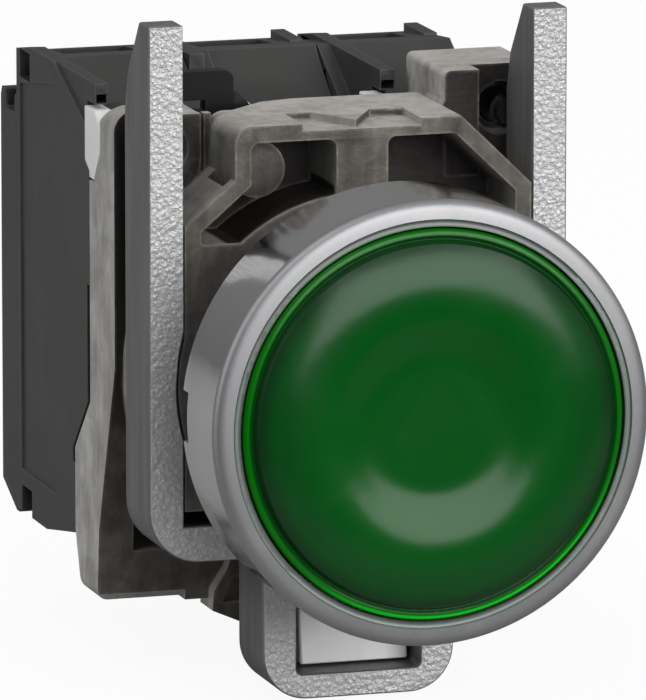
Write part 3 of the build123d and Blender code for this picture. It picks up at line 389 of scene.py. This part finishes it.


# Lens colours from its centre to its rim: the lens's own green, with a painted dark band and a
# painted bright bead at the rim that stand in for light through the lens.
LENS_ZONES_WITH_PAINTED_LIGHT = (
    (0.0, tone(2, 70, 17)),
    (0.58, tone(2, 72, 18)),
    (0.84, tone(5, 62, 18)),
    (0.925, tone(10, 44, 18)),
    (0.960, tone(4, 58, 12)),
    (0.972, tone(0, 92, 2)),
    (1.0, tone(0, 84, 2)),
)
LENS_RADIUS = 13.45 * MM
# Where painted light glows along the lens's lower rim: its side, the distances over which it grows,
# and the rim band it lies on.
PAINTED_GLOW_DIRECTION = (0.26, 0.0, -0.966)
PAINTED_GLOW_START = 6.0 * MM
PAINTED_GLOW_FULL = 13.2 * MM
PAINTED_GLOW_RIM = (0.972, 0.984)


def green_lens_material():
    """Green lens: colour zones from its centre to its rim, with a painted dark band and a painted
    bright rim, and painted light glowing along the lower rim.
    """
    material, tree, shader, place = start_material(
        "green translucent lens", Specular_IOR_Level=0.2
    )
    share = arithmetic(tree, "DIVIDE", axis_distance(tree, place), LENS_RADIUS)
    ramp = tree.nodes.new("ShaderNodeValToRGB")
    ramp.color_ramp.interpolation = "EASE"
    stops = ramp.color_ramp.elements
    stops[0].position = LENS_ZONES_WITH_PAINTED_LIGHT[0][0]
    stops[0].color = LENS_ZONES_WITH_PAINTED_LIGHT[0][1]
    stops[1].position = LENS_ZONES_WITH_PAINTED_LIGHT[-1][0]
    stops[1].color = LENS_ZONES_WITH_PAINTED_LIGHT[-1][1]
    for position, colour in LENS_ZONES_WITH_PAINTED_LIGHT[1:-1]:
        stops.new(position).color = colour
    tree.links.new(share, ramp.inputs["Fac"])
    # Painted light: a bright green glow is painted along the lower rim.
    painted_glow_side = add_node(
        tree, "ShaderNodeVectorMath", {0: place, 1: PAINTED_GLOW_DIRECTION}, operation="DOT_PRODUCT"
    ).outputs["Value"]
    low = spread(tree, painted_glow_side, PAINTED_GLOW_START, PAINTED_GLOW_FULL, 0.0, 0.8)
    rim = spread(tree, share, *PAINTED_GLOW_RIM)
    glow = arithmetic(tree, "MULTIPLY", low, rim)
    marks = place_group(tree, HANDLING, Vector=place, Scale=120.0)
    cloudy = blend_colour(tree, 0.05, ramp.outputs["Color"], tone(20, 96, 36))
    soft = blend_colour(tree, marks["Smudge"], ramp.outputs["Color"], cloudy)
    # The painted glow along the lower rim is blended into the colour here.
    feed(tree, shader, "Base Color", blend_colour(tree, glow, soft, tone(4, 196, 34)))
    feed(tree, shader, "Roughness", spread(tree, marks["Smudge"], 0.0, 1.0, 0.22, 0.26))
    bump(tree, shader, marks["Ripple"], 0.02, 0.0001)
    return material


def textured_yoke_material():
    """Yoke with a sand textured pale front and darker drawn sides."""
    material, tree, shader, place = start_material("sand textured yoke", Metallic=0.45)
    front = place_group(tree, FACING, Direction=(0.0, -1.0, 0.0), From=0.75, To=0.95)["Mask"]
    sand = place_group(tree, SAND_GRAIN, Vector=place, Lump_Scale=3100.0, Fine=0.4)
    lines = place_group(
        tree, DRAWN_LINES, Vector=place, Stretch=(1.0, 1.0, 0.06), Scale=1500.0
    )
    wear = place_group(tree, EDGE_WEAR, Vector=place, Width=0.00022, Break_Up=0.4)["Mask"]
    side = blend_colour(tree, lines["Tone"], grey(92), grey(104))
    # Painted glint: the lump tops of the front faces are painted paler.
    face = blend_colour(tree, sand["Painted Glint"], grey(176), grey(200))
    colour = blend_colour(tree, front, side, face)
    edge = arithmetic(tree, "MULTIPLY", wear, 0.35)
    feed(tree, shader, "Base Color", blend_colour(tree, edge, colour, grey(196)))
    rough = blend_value(tree, front, 0.52, 0.42)
    feed(tree, shader, "Roughness", rough)
    deep = arithmetic(tree, "MULTIPLY", sand["Height"], front)
    bump(tree, shader, deep, 1.0, 0.00018)
    return material


# Where the collar's painted shade goes: around the hub behind the bezel, just behind the crown's
# front, and deep in the crown's windows above its foot.
HUB_EDGE = (13.7 * MM, 13.4 * MM)
CROWN_FRONT = (9.2 * MM, 9.8 * MM)
CROWN_FLOOR = (10.0 * MM, 14.5 * MM)
CROWN_FOOT = (-6.0 * MM, 0.0)


def cast_collar_material():
    """Raw casting: pale top and left sides, and painted shade: a dark brown on the front faces,
    darker on the floor and walls of the windows and around the hub.
    """
    material, tree, shader, place = start_material("raw cast collar", Metallic=0.55)
    stain = place_group(
        tree, CASTING_STAIN, Vector=place, Blotch_Scale=230.0, Streak=0.35, Pit_Scale=2800.0
    )
    fine = place_group(
        tree, CASTING_STAIN, Vector=place, Blotch_Scale=900.0, Streak=0.1, Pit_Scale=5200.0
    )
    front = place_group(tree, FACING, Direction=(0.0, -1.0, 0.0), From=0.6, To=0.95)["Mask"]
    side = place_group(tree, FACING, Direction=(-1.0, 0.0, 0.0), From=0.6, To=0.95)["Mask"]
    wear = place_group(tree, EDGE_WEAR, Vector=place, Width=0.0003, Break_Up=0.7)["Mask"]
    ground = blend_colour(tree, stain["Stain"], tone(158, 154, 149), tone(206, 203, 198))
    speckled = blend_colour(tree, fine["Stain"], ground, tone(184, 180, 175))
    pale = blend_colour(tree, stain["Stain"], tone(144, 142, 139), tone(190, 189, 186))
    # Painted shade: the front faces get this dark brown in place of the casting's paler tones.
    dark = blend_colour(tree, stain["Stain"], tone(66, 62, 58), tone(106, 102, 96))
    along = split(tree, place)
    depth = spread(tree, along["Y"], *CROWN_FLOOR)
    high = spread(tree, along["Z"], *CROWN_FOOT)
    sunk = arithmetic(tree, "MULTIPLY", depth, high)
    # Painted shade: darker still on front faces deep in the windows of the crown.
    painted_recess_shade = blend_colour(tree, sunk, dark, tone(36, 33, 31))
    with_side = blend_colour(tree, side, speckled, pale)
    # Painted shade: darker around the hub behind the bezel and on faces turned down and to the right,
    # just behind the crown's front.
    hub = spread(tree, axis_distance(tree, place), *HUB_EDGE)
    under = place_group(tree, FACING, Direction=(0.707, 0.0, -0.707), From=0.5, To=0.65)["Mask"]
    sheltered = arithmetic(tree, "MAXIMUM", hub, under)
    inner_painted_shade = arithmetic(tree, "MULTIPLY", sheltered, spread(tree, along["Y"], *CROWN_FRONT))
    shaded = blend_colour(tree, inner_painted_shade, with_side, tone(52, 48, 45))
    with_front = blend_colour(tree, front, shaded, painted_recess_shade)
    edge = arithmetic(tree, "MULTIPLY", wear, 0.3)
    feed(tree, shader, "Base Color", blend_colour(tree, edge, with_front, tone(176, 172, 166)))
    feed(tree, shader, "Roughness", spread(tree, fine["Stain"], 0.0, 1.0, 0.46, 0.62))
    bump(tree, shader, stain["Pits"], 0.35, 0.00008)
    return material


def smooth_tongue_material():
    """Smooth pale metal with faint drawing lines."""
    material, tree, shader, place = start_material("smooth tongue", Metallic=0.25)
    lines = place_group(
        tree, DRAWN_LINES, Vector=place, Stretch=(1.0, 1.0, 0.08), Scale=3500.0
    )
    stain = place_group(tree, CASTING_STAIN, Vector=place, Blotch_Scale=200.0, Streak=0.2)
    colour = blend_colour(tree, stain["Stain"], grey(226), grey(234))
    feed(tree, shader, "Base Color", colour)
    feed(tree, shader, "Roughness", spread(tree, lines["Tone"], 0.0, 1.0, 0.40, 0.48))
    bump(tree, shader, lines["Height"], 0.08, 0.00004)
    return material


def plastic_material(name, dark, light, rough, grain=0.25, worn=None, gleam=0.5):
    """Moulded plastic with fine grain, faint patches and, if asked, paler edges."""
    material, tree, shader, place = start_material(name, Metallic=0.0, Specular_IOR_Level=gleam)
    moulded = place_group(tree, MOULDED_GRAIN, Vector=place)
    colour = blend_colour(tree, moulded["Patch"], dark, light)
    if worn is not None:
        wear = place_group(tree, EDGE_WEAR, Vector=place, Width=0.0002, Break_Up=0.35)["Mask"]
        colour = blend_colour(tree, wear, colour, worn)
    feed(tree, shader, "Base Color", colour)
    feed(tree, shader, "Roughness", spread(tree, moulded["Patch"], 0.0, 1.0, rough, rough + 0.07))
    bump(tree, shader, moulded["Height"], grain, 0.00003)
    return material


def metal_material(name, dark, light, rough, stretch):
    """Drawn, turned or stamped metal with fine lines along one direction."""
    material, tree, shader, place = start_material(name, Metallic=1.0)
    lines = place_group(tree, DRAWN_LINES, Vector=place, Stretch=stretch)
    marks = place_group(tree, HANDLING, Vector=place, Scale=300.0)
    colour = blend_colour(tree, lines["Tone"], dark, light)
    feed(tree, shader, "Base Color", colour)
    feed(tree, shader, "Roughness", spread(tree, marks["Smudge"], 0.0, 1.0, rough, rough + 0.12))
    bump(tree, shader, lines["Height"], 0.12, 0.00003)
    return material


def clear_lamp_material():
    """Clear lamp with faint smudges."""
    material, tree, shader, place = start_material(
        "clear lamp", Transmission_Weight=0.7, IOR=1.49, Coat_Weight=0.3
    )
    marks = place_group(tree, HANDLING, Vector=place, Scale=250.0)
    colour = blend_colour(tree, marks["Smudge"], tone(226, 232, 226), tone(240, 243, 238))
    feed(tree, shader, "Base Color", colour)
    feed(tree, shader, "Roughness", spread(tree, marks["Smudge"], 0.0, 1.0, 0.12, 0.22))
    return material


FINISHES = {
    "satin_chrome": satin_ring_material(),
    "bright_chrome": bright_chrome_material(),
    "green_lens": green_lens_material(),
    "textured_zinc": textured_yoke_material(),
    "cast_zinc": cast_collar_material(),
    "smooth_zinc": smooth_tongue_material(),
    "black_rubber": plastic_material("black rubber seal", grey(30), grey(38), 0.62, 0.35),
    "grey_plastic": plastic_material("grey pusher plastic", grey(140), grey(150), 0.45),
    "white_plastic": plastic_material("white diffusing plastic", grey(226), grey(234), 0.4, 0.12),
    "latch_plastic": plastic_material("white latch plastic", grey(216), grey(226), 0.42, 0.15),
    "black_plastic": plastic_material(
        "black lever plastic", grey(7), grey(11), 0.42, 0.2, gleam=0.15
    ),
    "block_plastic": plastic_material(
        "dark grey block plastic", tone(44, 44, 43), tone(52, 52, 51), 0.44, 0.3, grey(78), 0.25
    ),
    "board_green": plastic_material(
        "green circuit board", tone(20, 84, 44), tone(26, 96, 52), 0.3, 0.1
    ),
    "clear_lamp": clear_lamp_material(),
    "spring_steel": metal_material(
        "spring steel", grey(176), grey(200), 0.24, (1.0, 0.05, 1.0)
    ),
    "zinc_steel": metal_material(
        "zinc plated steel", tone(190, 190, 182), tone(212, 212, 206), 0.28, (1.0, 1.0, 0.3)
    ),
    "dark_steel": metal_material(
        "blackened steel", grey(40), grey(56), 0.34, (1.0, 0.3, 1.0)
    ),
    "brass_strip": metal_material(
        "brass strip", tone(196, 158, 84), tone(220, 186, 110), 0.26, (1.0, 0.08, 1.0)
    ),
}

EDGES = {
    "collar_body": 0.22,
    "clamp_yoke": 0.16,
    "yoke_guide": 0.2,
    "locking_lever": 0.15,
    "bezel": 0.08,
}
for block in BLOCKS:
    EDGES[f"{block}_housing"] = 0.14
    EDGES[f"{block}_cover"] = 0.16
    EDGES[f"{block}_latch"] = 0.14


JOIN_DISTANCE = 0.002 * MM


def soften_edges(piece, width):
    """Small rounded edges on a solid, as a casting or moulding has."""
    weld = piece.modifiers.new("join faces", "WELD")
    weld.merge_threshold = JOIN_DISTANCE
    bevel = piece.modifiers.new("rounded edges", "BEVEL")
    bevel.width = width * MM
    bevel.segments = 3
    bevel.limit_method = "ANGLE"
    bevel.angle_limit = math.radians(28)
    bevel.use_clamp_overlap = True
    bevel.harden_normals = False
    shade = piece.modifiers.new("even shading", "WEIGHTED_NORMAL")
    shade.keep_sharp = False
    shade.weight = 60


SLOT_OF = {row["node"]: row["material_slot"] for row in frame["record"]["subparts"]}
for name, piece in cad.items():
    piece.data.materials.clear()
    piece.data.materials.append(FINISHES[SLOT_OF[name]])
    if name in EDGES:
        soften_edges(piece, EDGES[name])


SPRINGS = {
    "return_spring": ("pusher_slide", 20.35 * MM),
    "left_plunger_spring": ("left_plunger_slide", 43.25 * MM),
    "right_plunger_spring": ("right_plunger_slide", 43.25 * MM),
}


def shorten_spring(piece):
    """Spring given its own copy of its mesh."""
    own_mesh(piece)


for name, (joint, fixed_end) in SPRINGS.items():
    shorten_spring(cad[name])


def area_lamp(name, spot, aim, size, power, colour=(1.0, 1.0, 1.0)):
    """Soft lamp at a spot, turned to an aim."""
    light = bpy.data.lights.new(name, "AREA")
    light.shape = "RECTANGLE"
    light.size, light.size_y = size
    light.energy = power
    light.color = colour
    lamp = bpy.data.objects.new(name, light)
    lamp.location = spot
    lamp.rotation_euler = (Vector(aim) - Vector(spot)).to_track_quat("-Z", "Y").to_euler()
    bpy.context.scene.collection.objects.link(lamp)


AIM = (0.0, 0.01, 0.0)
area_lamp("front soft box", (0.28, -0.92, 0.34), AIM, (1.1, 0.6), 13.0)
area_lamp("top left soft box", (-0.45, -0.18, 0.85), AIM, (0.6, 0.6), 2.0)
area_lamp("left fill", (-0.9, 0.1, 0.25), AIM, (0.6, 0.8), 2.2)


def studio_world():
    """White behind the object, and an even grey studio for all other light."""
    world = bpy.data.worlds.new("studio")
    bpy.context.scene.world = world
    world.use_nodes = True
    tree = world.node_tree
    back = tree.nodes["Background"]
    ray = tree.nodes.new("ShaderNodeLightPath").outputs
    seen = arithmetic(tree, "MAXIMUM", ray["Is Camera Ray"], ray["Is Transmission Ray"])
    towards = split(tree, tree.nodes.new("ShaderNodeTexCoord").outputs["Generated"])
    rise = spread(tree, towards["Z"], -0.5, 0.8, 0.26, 0.72)
    ahead = spread(tree, towards["Y"], -1.0, -0.1, 0.06, 1.0)
    behind = spread(tree, towards["Y"], 0.3, 0.9, 1.0, 0.45)
    level = arithmetic(tree, "MULTIPLY", arithmetic(tree, "MULTIPLY", rise, ahead), behind)
    studio = add_node(
        tree, "ShaderNodeCombineColor", {"Red": level, "Green": level, "Blue": level}
    ).outputs["Color"]
    tree.links.new(blend_colour(tree, seen, studio, (1.0, 1.0, 1.0, 1.0)), back.inputs["Color"])
    back.inputs["Strength"].default_value = 1.0


FLOOR_GAP = 0.2 * MM
FLOOR_REACH = 4.0
FLOOR_DIM_START = -68.0 * MM
FLOOR_DIM_END = -32.0 * MM
FLOOR_GLOW_SHARE = 0.93


def pale_floor():
    """Floor just under the object, near white to the camera with the object's soft shadow."""
    low = cad_box[0][2] - FLOOR_GAP
    sides = ((-1, -1), (1, -1), (1, 1), (-1, 1))
    corners = [(x * FLOOR_REACH, y * FLOOR_REACH, low) for x, y in sides]
    mesh = bpy.data.meshes.new("floor")
    mesh.from_pydata(corners, [], [(0, 1, 2, 3)])
    floor = bpy.data.objects.new("floor", mesh)
    bpy.context.scene.collection.objects.link(floor)
    material = bpy.data.materials.new("pale floor")
    material.use_nodes = True
    tree = material.node_tree
    shader = tree.nodes["Principled BSDF"]
    shader.inputs["Roughness"].default_value = 0.9
    shader.inputs["Specular IOR Level"].default_value = 0.0
    ray = tree.nodes.new("ShaderNodeLightPath").outputs
    place = tree.nodes.new("ShaderNodeTexCoord").outputs["Object"]
    near = spread(tree, split(tree, place)["Y"], FLOOR_DIM_START, FLOOR_DIM_END)
    bounced = blend_colour(tree, near, grey(62), grey(172))
    feed(tree, shader, "Base Color", blend_colour(tree, ray["Is Camera Ray"], bounced, grey(236)))
    glow = add_node(tree, "ShaderNodeEmission", {"Color": (1.0, 1.0, 1.0, 1.0), "Strength": 1.0})
    share = arithmetic(tree, "MULTIPLY", ray["Is Camera Ray"], FLOOR_GLOW_SHARE)
    mix = add_node(tree, "ShaderNodeMixShader", {0: share})
    tree.links.new(shader.outputs[0], mix.inputs[1])
    tree.links.new(glow.outputs[0], mix.inputs[2])
    tree.links.new(mix.outputs[0], tree.nodes["Material Output"].inputs["Surface"])
    mesh.materials.append(material)


CAMERA_SPOT = (-0.21062, -0.67292, 0.14167)
CAMERA_AIM = (-0.000141, 0.017, 0.000443)
CAMERA_LENS = 543.39


def photo_camera():
    """Camera at the photograph's viewing angle."""
    data = bpy.data.cameras.new("camera")
    data.lens = CAMERA_LENS
    data.sensor_width = 36.0
    data.clip_start = 0.01
    camera = bpy.data.objects.new("camera", data)
    camera.location = CAMERA_SPOT
    look = Vector(CAMERA_AIM) - camera.location
    camera.rotation_euler = look.to_track_quat("-Z", "Y").to_euler()
    bpy.context.scene.collection.objects.link(camera)
    bpy.context.scene.camera = camera


studio_world()
pale_floor()
photo_camera()
bpy.context.scene.view_settings.view_transform = "Standard"
